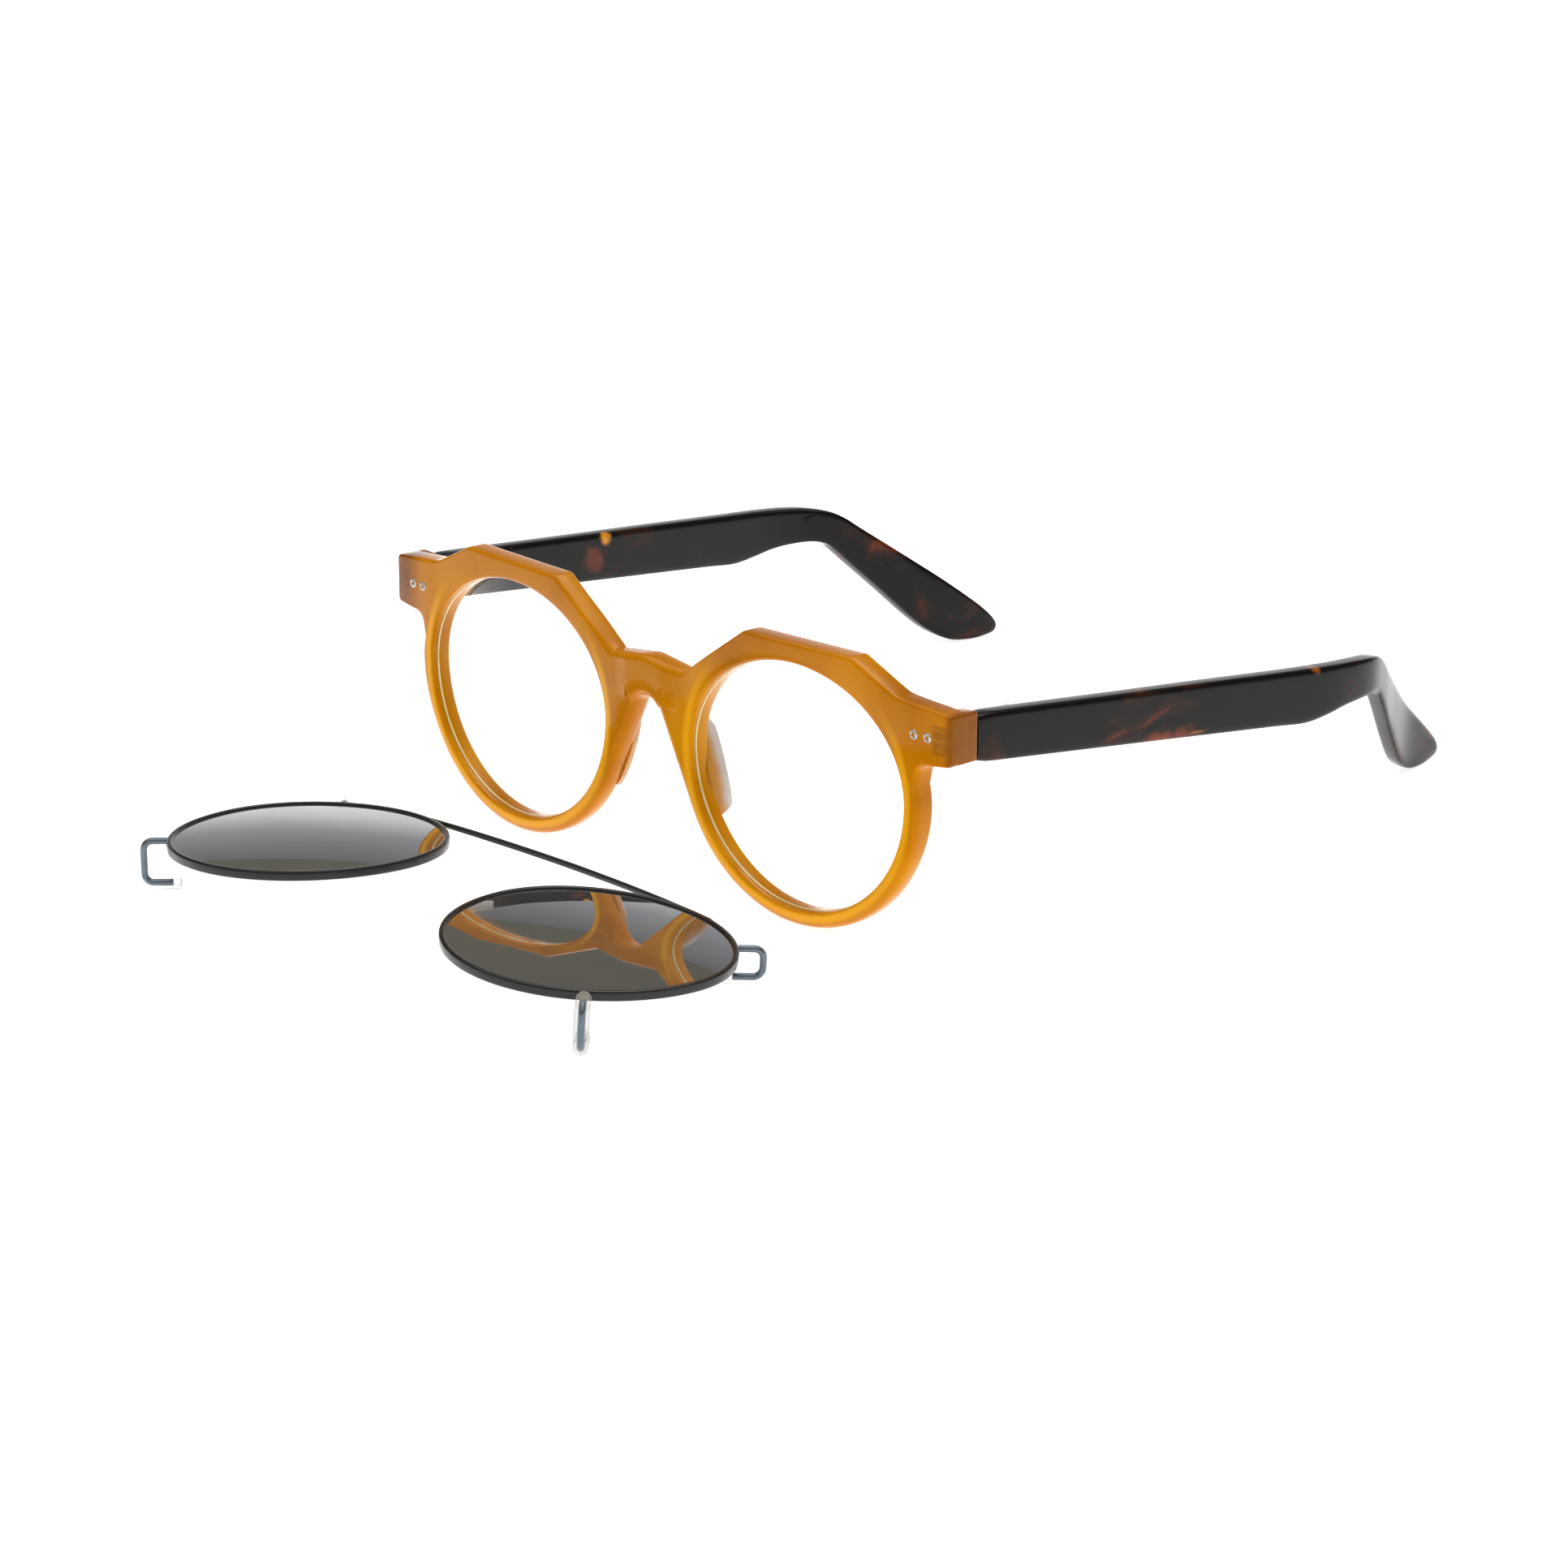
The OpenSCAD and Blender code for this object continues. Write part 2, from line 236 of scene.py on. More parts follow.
def stretched(tree, coords, scale, shift=(0, 0, 0)):
    return add(tree, "Mapping", {"Vector": coords, "Scale": scale, "Location": shift}).outputs[0]


def objectCoords(tree):
    return tree.nodes.new("ShaderNodeTexCoord").outputs["Object"]


marks = {"broadScale": 0.12, "broadShare": 0.7, "range": (0.3, 0.75), "bumpDistance": 0.0001,
         "plasticShade": 0.82, "metalShade": 0.75}


def polish(tree, shader, coords, rough=0.12, vary=0.1, scale=900.0, relief=0.02):
    broad = noise(tree, coords, scale * marks["broadScale"], 4.0, 0.6)  # handling marks
    fine = noise(tree, coords, scale, 2.0)
    broadPart = times(tree, broad, marks["broadShare"])
    amount = plus(tree, broadPart, times(tree, fine, 1 - marks["broadShare"]))
    plug(tree, shader.inputs["Roughness"], fade(tree, amount, *marks["range"], rough, rough + vary))
    bump = add(tree, "Bump", {"Strength": relief, "Distance": marks["bumpDistance"], "Height": fine})
    plug(tree, shader.inputs["Normal"], bump.outputs[0])


def setShader(shader, **values):
    for key, value in values.items():
        shader.inputs[key.replace("_", " ")].default_value = value


amber = {
    "deep": (0.35, 0.105, 0.0), "mid": (0.49, 0.170, 0.0), "light": (0.61, 0.245, 0.0),
    "streak": (0.34, 0.095, 0.004), "brown": (0.17, 0.046, 0.004), "glow": (0.84, 0.40, 0.008),
    # the hinge leaf seen inside the end piece: partly its real outline, partly painted shade
    "hinge": (0.075, 0.022, 0.006),
    "cloudScale": 38.0, "cloudStops": (0.28, 0.5, 0.74),
    "streakScale": (50, 140, 22), "streakRange": (0.5, 0.75), "streakShare": 0.45,
    # the oval that the rim's inner edge follows, in metres
    "eyeAt": (0.034, 0.0248), "eyeSize": (0.0235, 0.022),
    # painted light along the rims' inner edges: its reach across the rim, its height and its share
    "glowIn": (0.99, 1.03), "glowOut": (1.09, 1.045), "glowHeight": (0.75, 0.2), "glowShare": 0.75,
    # end pieces: distance from the middle, share of brown; this brown is painted shade on their outer sides
    # and across the far end piece
    "endShadeRange": (0.0655, 0.0672), "endShadeShare": 0.85, "farShadeRange": (-0.0590, -0.0650), "farShadeShare": 0.9,
    # hinge leaf showing through, its darkness painted as shade
    "hingeZ": 0.0371, "hingeHeight": (0.0026, 0.0020), "hingeFrom": (0.0632, 0.0640),
    "hingeTo": (0.0672, 0.0660), "hingeSideShare": 0.12, "barSpacing": 1900.0, "barShares": (0.28, 0.46),
    "specularTint": (1, 0.55, 0.1, 1),
}


def honeyAcetate():
    material, tree, shader = newMaterial("honeyAcetate")
    coords = objectCoords(tree)
    cloud = noise(tree, coords, amber["cloudScale"], 1.5, 0.45, 0.8)
    tones = [amber[key] for key in ("deep", "mid", "light")]
    color = ramp(tree, cloud, list(zip(amber["cloudStops"], tones)))
    streak = noise(tree, stretched(tree, coords, amber["streakScale"]), 1.0, 3.0, 0.5, 1.4)
    streak = fade(tree, streak, *amber["streakRange"], 0, amber["streakShare"])
    color = mixed(tree, streak, color, (*amber["streak"], 1))
    xyz = add(tree, "SeparateXYZ", {0: coords})
    side = sums(tree, "ABSOLUTE", xyz.outputs[0])
    # painted light: brighter along the inner edge of each rim, most towards the bottom
    (eyeX, eyeZ), (sizeX, sizeZ) = amber["eyeAt"], amber["eyeSize"]
    across = sums(tree, "DIVIDE", sums(tree, "SUBTRACT", side, eyeX), sizeX)
    along = sums(tree, "DIVIDE", sums(tree, "SUBTRACT", xyz.outputs[2], eyeZ), sizeZ)
    squares = plus(tree, times(tree, across, across), times(tree, along, along))
    ring = sums(tree, "SQRT", squares)
    glow = times(tree, fade(tree, ring, *amber["glowIn"]), fade(tree, ring, *amber["glowOut"]))
    glow = times(tree, glow, fade(tree, along, *amber["glowHeight"], 0, amber["glowShare"]))
    color = mixed(tree, glow, color, (*amber["glow"], 1))
    # painted shade: brown on the end pieces' outer sides, darker across the far end piece
    ends = fade(tree, side, *amber["endShadeRange"], 0, amber["endShadeShare"])
    farShade = fade(tree, xyz.outputs[0], *amber["farShadeRange"], 0, amber["farShadeShare"])
    color = mixed(tree, sums(tree, "MAXIMUM", ends, farShade), color, (*amber["brown"], 1))
    # hinge leaf inside the end piece, seen through the acetate: its darkness is painted shade
    height = sums(tree, "ABSOLUTE", sums(tree, "SUBTRACT", xyz.outputs[2], amber["hingeZ"]))
    bars = sums(tree, "ABSOLUTE", sums(tree, "SINE", times(tree, height, amber["barSpacing"])))
    hingeShade = times(tree, fade(tree, side, *amber["hingeFrom"]), fade(tree, height, *amber["hingeHeight"]))
    hingeShade = times(tree, hingeShade, fade(tree, side, *amber["hingeTo"], amber["hingeSideShare"], 1.0))
    hingeShade = times(tree, hingeShade, fade(tree, bars, 0.1, 0.9, *amber["barShares"]))
    color = mixed(tree, hingeShade, color, (*amber["hinge"], 1))
    plug(tree, shader.inputs["Base Color"], color)
    setShader(shader, IOR=1.48, Specular_IOR_Level=0.32, Specular_Tint=amber["specularTint"],
              Subsurface_Weight=0.25, Subsurface_Scale=0.0018, Subsurface_Radius=(1.0, 0.4, 0.05))
    polish(tree, shader, coords, 0.1, 0.1, 500.0, 0.01)
    return material


tortoise = {
    "black": (0.0045, 0.0038, 0.0035), "brown": (0.020, 0.0065, 0.0035), "red": (0.105, 0.020, 0.007),
    "fleck": (0.42, 0.13, 0.02),
    "mottleScale": (90, 75, 130), "mottleStops": (0.46, 0.56, 0.70),
    "fleckScale": (260, 70, 620), "fleckRange": (0.72, 0.80),
    "spotEdge": (2.1, 1.2), "spotRagged": 1.8,
    "spots": [  # place, half size, strength, colour
        ((-0.0648, 0.0152, 0.0346), (0.0022, 0.0016, 0.0017), 0.95, (0.75, 0.30, 0.02)),
        ((-0.0648, 0.0125, 0.0312), (0.0022, 0.0030, 0.0026), 0.8, (0.12, 0.026, 0.011)),
        ((-0.0662, 0.0480, 0.0335), (0.0022, 0.0022, 0.0016), 0.7, (0.14, 0.030, 0.012)),
        ((0.0683, -0.0080, 0.0283), (0.0025, 0.0035, 0.0012), 0.9, (0.20, 0.040, 0.014)),
        ((0.0694, 0.0150, 0.0270), (0.0025, 0.0060, 0.0016), 0.85, (0.17, 0.034, 0.012)),
        ((0.0708, 0.0500, 0.0322), (0.0025, 0.0016, 0.0022), 0.9, (0.45, 0.12, 0.02)),
    ],
}


def spotMask(tree, coords, place, size, wobble):
    scale = tuple(1.0 / s for s in size)
    shift = tuple(-p / s for p, s in zip(place, size))
    away = add(tree, "VectorMath", {0: stretched(tree, coords, scale, shift)}, operation="LENGTH")
    ragged = times(tree, wobble, tortoise["spotRagged"])
    return fade(tree, plus(tree, away.outputs["Value"], ragged), *tortoise["spotEdge"])


def tortoiseAcetate():
    material, tree, shader = newMaterial("tortoiseAcetate")
    coords = objectCoords(tree)
    region = noise(tree, coords, 32.0, 2.0, 0.5)
    mottle = noise(tree, stretched(tree, coords, tortoise["mottleScale"]), 1.0, 5.0, 0.6, 1.1)
    mottle = times(tree, mottle, fade(tree, region, 0.40, 0.62, 0.72, 1.05))
    tones = [tortoise[key] for key in ("black", "brown", "red")]
    color = ramp(tree, mottle, list(zip(tortoise["mottleStops"], tones)))
    fleck = noise(tree, stretched(tree, coords, tortoise["fleckScale"]), 1.0, 2.0, 0.5, 0.4)
    fleck = times(tree, fade(tree, fleck, *tortoise["fleckRange"]), fade(tree, region, 0.45, 0.6))
    color = mixed(tree, fleck, color, (*tortoise["fleck"], 1))
    wobble = noise(tree, coords, 330.0, 4.0, 0.65)
    for place, size, strength, tone in tortoise["spots"]:
        mask = times(tree, spotMask(tree, coords, place, size, wobble), strength)
        color = mixed(tree, mask, color, (*tone, 1))
    plug(tree, shader.inputs["Base Color"], color)
    setShader(shader, IOR=1.5, Specular_IOR_Level=0.16)
    polish(tree, shader, coords, 0.09, 0.08, 800.0, 0.01)
    return material


def plastic(name, color, rough=0.2, vary=0.08, scatter=0.0, scale=900.0, level=0.5):
    material, tree, shader = newMaterial(name)
    coords = objectCoords(tree)
    tone = noise(tree, coords, scale * 0.15, 3.0, 0.6)
    dark = tuple(c * marks["plasticShade"] for c in color)
    plug(tree, shader.inputs["Base Color"], ramp(tree, tone, [(0.3, dark), (0.7, color)]))
    setShader(shader, Subsurface_Weight=scatter, Subsurface_Scale=0.0015, IOR=1.48,
              Specular_IOR_Level=level)
    polish(tree, shader, coords, rough, vary, scale)
    return material


padTone = {"root": (0.60, 0.26, 0.03), "rear": (0.66, 0.64, 0.60), "rim": (0.20, 0.09, 0.03),
           "depth": (-0.0290, -0.0270), "wave": 0.0006, "edgeShadeRange": (0.55, 0.9), "edgeShadeShare": 0.75}


def padAcetate():
    material, tree, shader = newMaterial("padAcetate")
    coords = objectCoords(tree)
    depth = add(tree, "SeparateXYZ", {0: coords}).outputs[1]
    wave = times(tree, noise(tree, coords, 220.0, 2.0), padTone["wave"])
    back = fade(tree, plus(tree, depth, wave), *padTone["depth"])
    color = mixed(tree, back, (*padTone["root"], 1), (*padTone["rear"], 1))
    # painted shade: the colour darkens towards the pad's edges as they turn from view
    facing = add(tree, "LayerWeight", {"Blend": 0.25}).outputs["Facing"]
    edge = fade(tree, facing, *padTone["edgeShadeRange"], 0, padTone["edgeShadeShare"])
    color = mixed(tree, edge, color, (*padTone["rim"], 1))
    plug(tree, shader.inputs["Base Color"], color)
    setShader(shader, Subsurface_Weight=0.5, Subsurface_Scale=0.0015, IOR=1.48, Transmission_Weight=0.25)
    polish(tree, shader, coords, 0.14, 0.08)
    return material


def metal(name, color, rough=0.22, vary=0.15, scale=1200.0, metallic=1.0):
    material, tree, shader = newMaterial(name)
    coords = objectCoords(tree)
    tone = noise(tree, coords, scale * 0.2, 3.0, 0.6)
    dark = tuple(c * marks["metalShade"] for c in color)
    plug(tree, shader.inputs["Base Color"], ramp(tree, tone, [(0.25, dark), (0.75, color)]))
    setShader(shader, Metallic=metallic)
    polish(tree, shader, coords, rough, vary, scale, 0.05)
    return material


def seeThrough(tree, shader, tint, amount):
    clear = add(tree, "BsdfTransparent", {"Color": (*tint, 1)})
    blend = add(tree, "MixShader", {0: amount, 1: clear.outputs[0], 2: shader.outputs[0]})
    tree.links.new(blend.outputs[0], tree.get_output_node("ALL").inputs[0])


lensTone = {
    "demo": (0.99, 0.993, 0.995), "demoShine": 0.25,
    "smoke": ((0.40, 0.405, 0.41), (0.44, 0.442, 0.44)), "smokeAbove": (0.07, 0.07, 0.071),
    "smokeTurn": (0.1, 0.58),
    "sleeve": (0.62, 0.58, 0.51), "sleeveClear": (0.95, 0.96, 0.97), "sleeveEdgeSheen": 0.85,
}


def demoPlastic():
    material, tree, shader = newMaterial("demoPlastic")
    smear = noise(tree, objectCoords(tree), 120.0, 3.0, 0.6)
    fresnel = add(tree, "Fresnel", {"IOR": 1.2}).outputs[0]
    setShader(shader, Base_Color=(1, 1, 1, 1), Metallic=1.0)
    plug(tree, shader.inputs["Roughness"], fade(tree, smear, 0.3, 0.7, 0.02, 0.06))
    seeThrough(tree, shader, lensTone["demo"], times(tree, fresnel, lensTone["demoShine"]))
    return material


def smokeLens():
    material, tree, shader = newMaterial("smokeLens")
    haze = noise(tree, objectCoords(tree), 60.0, 4.0, 0.6)
    color = ramp(tree, haze, list(zip((0.3, 0.7), lensTone["smoke"])))
    facing = add(tree, "LayerWeight", {"Blend": 0.5}).outputs["Facing"]  # darker seen from straight above
    color = mixed(tree, fade(tree, facing, *lensTone["smokeTurn"]), (*lensTone["smokeAbove"], 1), color)
    plug(tree, shader.inputs["Base Color"], color)
    plug(tree, shader.inputs["Roughness"], fade(tree, haze, 0.3, 0.7, 0.015, 0.025))
    setShader(shader, Metallic=0.92, IOR=1.5)
    return material


def clearSleeve():
    material, tree, shader = newMaterial("clearSleeve")
    haze = noise(tree, objectCoords(tree), 400.0, 3.0, 0.6)
    facing = add(tree, "LayerWeight", {"Blend": 0.4}).outputs["Facing"]  # painted highlight: paler and less clear towards its edges
    edgeSheen = times(tree, sums(tree, "POWER", facing, 2.2), lensTone["sleeveEdgeSheen"])
    setShader(shader, Base_Color=(*lensTone["sleeve"], 1), IOR=1.4, Specular_IOR_Level=0.3)
    plug(tree, shader.inputs["Roughness"], fade(tree, haze, 0.3, 0.7, 0.1, 0.22))
    amount = sums(tree, "ADD", edgeSheen, times(tree, haze, 0.08), True)
    seeThrough(tree, shader, lensTone["sleeveClear"], amount)
    return material


finish = {
    "amber": honeyAcetate(),
    "tortoise": tortoiseAcetate(),
    "demo": demoPlastic(),
    # the lens edge's cream colour is a painted reflection of the amber rim
    "lensEdge": plastic("lensEdge", (0.90, 0.68, 0.32), 0.25, 0.1, 0.3),
    "pad": padAcetate(),
    "rivet": metal("rivetSteel", (0.50, 0.49, 0.47), 0.28, 0.15),
    "rivetCore": metal("rivetCore", (0.06, 0.045, 0.035), 0.4, 0.15, metallic=0.6),
    "darkHinge": metal("darkHinge", (0.10, 0.08, 0.07), 0.3, 0.15),
    "lightHinge": metal("lightHinge", (0.80, 0.77, 0.68), 0.3, 0.15, metallic=0.5),
    "screw": metal("screwSteel", (0.55, 0.55, 0.57), 0.2, 0.1),
    "core": metal("coreSteel", (0.5, 0.5, 0.5), 0.3, 0.1),
    "black": plastic("blackEnamel", (0.0065, 0.0062, 0.006), 0.2, 0.12, 0.0, 1100.0, 0.35),
    "smoke": smokeLens(),
    "hook": metal("hookSteel", (0.13, 0.165, 0.20), 0.2, 0.12),
    "sleeve": clearSleeve(),
}
cadFinish = {
    "front": "amber", "demo_lens": "demo", "nose_pad": "pad", "rivets": "rivet", "front_leaf": "darkHinge",
    "hinge_screw": "screw", "temple_leaf": "lightHinge", "temple": "tortoise", "core_wire": "core",
    "clip_rim": "black", "clip_bar": "black", "sun_lens": "smoke", "upper_hook": "hook",
    "lower_hook": "hook", "upper_sleeve": "sleeve", "lower_sleeve": "sleeve",
}
for nodeName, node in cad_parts.items():
    kind = nodeName.removeprefix("left_").removeprefix("right_")
    node.data.materials.clear()
    node.data.materials.append(finish[cadFinish[kind]])
print("finishes made:", len(finish))

front = {
    # upper outline of one half: x, z, corner radius
    "crown": [(0, 14.5, 0), (8.6, 13.4, 1.2), (22.9, 23.2, 1.5), (46.4, 23.4, 1.5), (55.6, 19.0, 8),
              (67.2, 17.9, 0.7), (67.2, 9.7, 0.9), (60.6, 8.9, 2)],
    "nose": (1.95, 7.4, 3),
    "rimWidth": 2.8,
    "rimArc": (10, -156, -4),       # degrees, outer side to inner side, step
    "spacing": 2.0,
    # rounding of the outer edge and of an eye opening: inset, depth
    "outer": [(1.5, 0.0), (1.05, 0.1), (0.6, 0.32), (0.26, 0.7), (0.06, 1.2), (0.0, 1.8),
              (0.0, 2.7), (0.12, 3.3), (0.4, 3.75), (0.8, 4.05), (1.3, 4.2)],
    "inner": [(0.6, 0.0), (0.33, 0.07), (0.12, 0.24), (0.0, 0.55), (0.0, 1.12), (0.42, 1.3),
              (0.42, 1.62), (0.0, 1.8), (0.0, 3.6), (0.12, 3.95), (0.4, 4.15), (0.7, 4.2)],
    "crisp": 0.3,                   # share of the rounding left at the end pieces
    "endsFrom": (57, 63), "browFrom": (10, 18), "browCrisp": 0.6,
    "saddle": {"half": 4.6, "slope": 2.6, "proud": 0.55, "above": 6.5, "deep": 1.3},
}


def frontOutline():
    first, last, step = front["rimArc"]
    grown = [eye[key] + front["rimWidth"] for key in ("half", "up", "down")]
    rim = [ovalPoint(math.radians(a), *grown) for a in range(first, last - 1, step)]
    half = front["crown"] + [(eye["x"] + x, eye["z"] + z, 0) for x, z in rim] + [front["nose"]]
    both = half + [(-x, z, r) for x, z, r in half[::-1] if x > 0]
    return spread(roundCorners(both), front["spacing"])[::-1]


def edgeSoftness(x, z):  # crisp at the end pieces, a little crisper along the brow
    ends = smoothStep(*front["endsFrom"], abs(x)) * (1 - front["crisp"])
    brow = smoothStep(*front["browFrom"], z) * front["browCrisp"]
    return 1 - max(ends, brow)


def buildFront():
    bm = bmesh.new()
    outline = frontOutline()
    opening = eyeLoop(0)
    soft = [edgeSoftness(x, z) for x, z in outline]
    groups = [[], []]
    for loop, profile, amounts in (
            (outline, front["outer"], soft),
            (opening[::-1], front["inner"], [1] * len(opening)),
            ([(-x, z) for x, z in opening], front["inner"], [1] * len(opening))):
        rings = []
        for inset, depth in profile:
            moved = insetBy(loop, [inset * a for a in amounts])
            back = front["outer"][-1][1]
            depths = [depth * a if depth < back / 2 else back - (back - depth) * a for a in amounts]
            rings.append([bowed(x, d, z) for (x, z), d in zip(moved, depths)])
        loops = loft(bm, rings, capped=False)
        groups[0] += loops[0]
        groups[1] += loops[-1]
    for edges in groups:
        bmesh.ops.triangle_fill(bm, use_beauty=True, use_dissolve=False, edges=edges)
    raiseSaddle(bm)
    return bm


def raiseSaddle(bm):  # the bridge stands a little proud of the rims, with a sloping side
    saddle = front["saddle"]
    outer = saddle["half"] + saddle["slope"]
    for x in (-outer, -saddle["half"], saddle["half"], outer):
        bmesh.ops.bisect_plane(bm, geom=bm.verts[:] + bm.edges[:] + bm.faces[:], dist=1e-5,
                               plane_co=(x, 0, 0), plane_no=(1, 0, 0))
    for vert in bm.verts:
        if vert.co.y < saddle["deep"] and vert.co.z > saddle["above"]:
            lift = 1 - smoothStep(saddle["half"], outer, abs(vert.co.x))
            vert.co.y -= saddle["proud"] * lift * (1 - vert.co.y / saddle["deep"])


finishPiece(buildFront(), "frontAcetate", glassesPlace, "front", ["amber"], "front", 30)

endBlock = {"outline": [(63.35, 9.74), (67.18, 9.74), (67.18, 17.86), (63.35, 17.6)], "depth": (4.6, 9.0),
            "round": 0.45}


def buildEndBlock():
    bm = bmesh.new()
    low, high = endBlock["depth"]
    verts = [bm.verts.new((x, low, z)) for x, z in endBlock["outline"]]
    face = bm.faces.new(verts)
    grown = bmesh.ops.extrude_face_region(bm, geom=[face])["geom"]
    moved = [g for g in grown if isinstance(g, bmesh.types.BMVert)]
    bmesh.ops.translate(bm, vec=(0, high - low, 0), verts=moved)
    roundEdges(bm, bm.edges[:], endBlock["round"], 4)
    return bm


for side, sign in sides:
    finishPiece(buildEndBlock(), side + "EndBlock", glassesPlace @ mirrored(sign), "front", ["amber"])
print("front built")

demoLens = {"grow": 0.38, "face": 1.34, "back": 2.6, "dome": 0.5, "rings": 12, "centre": 0.02}
lensEdge = [(0.0, 1.28), (0.1, 1.3), (0.13, 1.45), (0.1, 1.62), (0.0, 1.66), (-0.3, 1.66), (-0.3, 1.28)]


def domeRings(loop, centre, shape):  # a lens as rings: out over its face, back under it
    rings = []
    count = shape["rings"]
    for level, order in ((shape["face"], range(count + 1)), (shape["back"], range(count, -1, -1))):
        for k in order:
            f = max(k / count, shape["centre"])
            bulge = shape["dome"] * (1 - f * f)
            rings.append([(centre[0] + (x - centre[0]) * f, level, centre[1] + (z - centre[1]) * f, bulge)
                          for x, z in loop])
    return rings


def buildDemoLens():
    bm = bmesh.new()
    rings = domeRings(eyeLoop(demoLens["grow"]), (eye["x"], eye["z"]), demoLens)
    loft(bm, [[bowed(x, level - bulge, z) for x, level, z, bulge in ring] for ring in rings])
    return bm


def buildLensEdge():
    bm = bmesh.new()
    loft(bm, [[bowed(x, depth, z) for x, z in eyeLoop(-inset)] for inset, depth in lensEdge], False, True)
    return bm


for side, sign in sides:
    place = glassesPlace @ mirrored(sign)
    finishPiece(buildDemoLens(), side + "DemoLens", place, "front", ["demo"], side + "_demo_lens")
    finishPiece(buildLensEdge(), side + "LensEdge", place, "front", ["lensEdge"])
print("demo lenses built")

pad = {
    # depth, centre x, centre z, half width, half height
    "stations": [(3.3, 8.9, -2.2, 1.9, 9.2), (4.3, 9.1, -2.3, 2.1, 9.4), (5.0, 9.6, -2.4, 1.95, 9.0),
                 (5.8, 10.1, -2.6, 1.6, 8.3), (6.5, 10.6, -2.8, 1.2, 7.4), (6.95, 10.9, -2.9, 0.8, 6.7),
                 (7.12, 11.0, -2.9, 0.4, 6.0)],
    "roll": 19,                     # degrees
    "around": 48,
}


def buildPad():
    bm = bmesh.new()
    rings = []
    for depth, x, z, half, tall in pad["stations"]:
        place = Matrix.Translation(bowed(x, depth, z)) @ Matrix.Rotation(math.radians(-pad["roll"]), 4, "Y")
        place = place @ Matrix.Diagonal((half, 1, tall, 1))
        angles = [2 * math.pi * k / pad["around"] for k in range(pad["around"])]
        rings.append([place @ Vector((math.cos(a), 0, math.sin(a))) for a in angles])
    loft(bm, rings)
    return bm


for side, sign in sides:
    finishPiece(buildPad(), side + "NosePad", glassesPlace @ mirrored(sign), "front", ["pad"],
                side + "_nose_pad", 60)
print("nose pads built")

rivet = {
    "x": (59.7, 62.5), "z": 13.75,
    "core": [(0.0, 0.10), (0.26, 0.10), (0.34, 0.02)],
    "ring": [(0.34, 0.02), (0.40, -0.03), (0.47, -0.13), (0.68, -0.11), (0.82, 0.0), (0.86, 0.16),
             (0.86, 0.5), (0.0, 0.5)],
}


def turned(bm, profile, centre, axis, steps=36, finishIndex=0):  # profile: radius, height along the axis
    axis = Vector(axis)
    across = axis.orthogonal().normalized()
    verts = [bm.verts.new(Vector(centre) + across * r + axis * h) for r, h in profile]
    edges = [bm.edges.new(pair) for pair in zip(verts, verts[1:])]
    before = set(bm.faces)
    bmesh.ops.spin(bm, geom=verts + edges, cent=centre, axis=axis, angle=2 * math.pi, steps=steps,
                   use_merge=True)
    for face in set(bm.faces) - before:
        face.material_index = finishIndex


def buildRivets():
    bm = bmesh.new()
    for x in rivet["x"]:
        centre = bowed(x, 0, rivet["z"])
        turned(bm, rivet["ring"], centre, (0, 1, 0))
        turned(bm, rivet["core"], centre, (0, 1, 0), finishIndex=1)
    return bm


hinge = {
    "x": 61.9, "y": 9.0, "z": 13.75, "radius": 1.25, "chamfer": 0.12,
    "frontLeaf": {"low": (57.9, 6.15, 11.4), "high": (63.2, 7.3, 16.1), "round": 0.18},
    "frontArm": {"low": (60.7, 7.2, 0.02), "high": (63.1, 9.0, 1.53), "round": 0.05},
    "frontKnuckles": ((11.25, 12.8), (14.7, 16.25)),
    "templeLeaf": {"low": (62.9, 9.95, 11.4), "high": (64.0, 19.5, 16.1), "round": 0.22},
    "templeArm": {"low": (61.95, 9.12, 12.87), "high": (63.9, 10.6, 14.63), "round": 0.1},
    "templeKnuckle": (12.87, 14.63),
    "leafScrews": (12.6, 16.9),
    "screwHead": [(0.0, -0.3), (0.85, -0.3), (0.85, 0.1), (0.75, 0.2), (0.3, 0.2), (0.25, 0.1), (0.0, 0.1)],
    "screw": [(0.0, -2.5), (0.5, -2.5), (0.6, -2.4), (0.6, 2.5), (1.1, 2.5), (1.1, 2.8), (0.95, 2.96),
              (0.5, 3.0), (0.45, 2.85), (0.0, 2.85)],
}


def roundedBlock(low, high, rounding):
    bm = bmesh.new()
    low, high = Vector(low), Vector(high)
    place = Matrix.Translation((low + high) / 2) @ Matrix.Diagonal((*(high - low), 1))
    bmesh.ops.create_cube(bm, size=1, matrix=place)
    roundEdges(bm, bm.edges[:], rounding)
    return bm


def addKnuckle(bm, low, high):
    r, c = hinge["radius"], hinge["chamfer"]
    profile = [(0.0, low), (r - c, low), (r, low + c), (r, high - c), (r - c, high), (0.0, high)]
    turned(bm, profile, (hinge["x"], hinge["y"], 0), (0, 0, 1))


def buildFrontLeaf():
    leaf, arm = hinge["frontLeaf"], hinge["frontArm"]
    bm = roundedBlock(leaf["low"], leaf["high"], leaf["round"])
    for low, high in hinge["frontKnuckles"]:
        addKnuckle(bm, low, high)
        rise = Vector((0, 0, low))
        joinInto(bm, roundedBlock(Vector(arm["low"]) + rise, Vector(arm["high"]) + rise, arm["round"]))
    return bm


def buildTempleLeaf():
    leaf, arm = hinge["templeLeaf"], hinge["templeArm"]
    bm = roundedBlock(leaf["low"], leaf["high"], leaf["round"])
    joinInto(bm, roundedBlock(arm["low"], arm["high"], arm["round"]))
    addKnuckle(bm, *hinge["templeKnuckle"])
    for y in hinge["leafScrews"]:
        turned(bm, hinge["screwHead"], (leaf["low"][0], y, hinge["z"]), (-1, 0, 0), 28)
    return bm


def buildHingeScrew():
    bm = bmesh.new()
    turned(bm, hinge["screw"], (hinge["x"], hinge["y"], hinge["z"]), (0, 0, 1))
    return bm


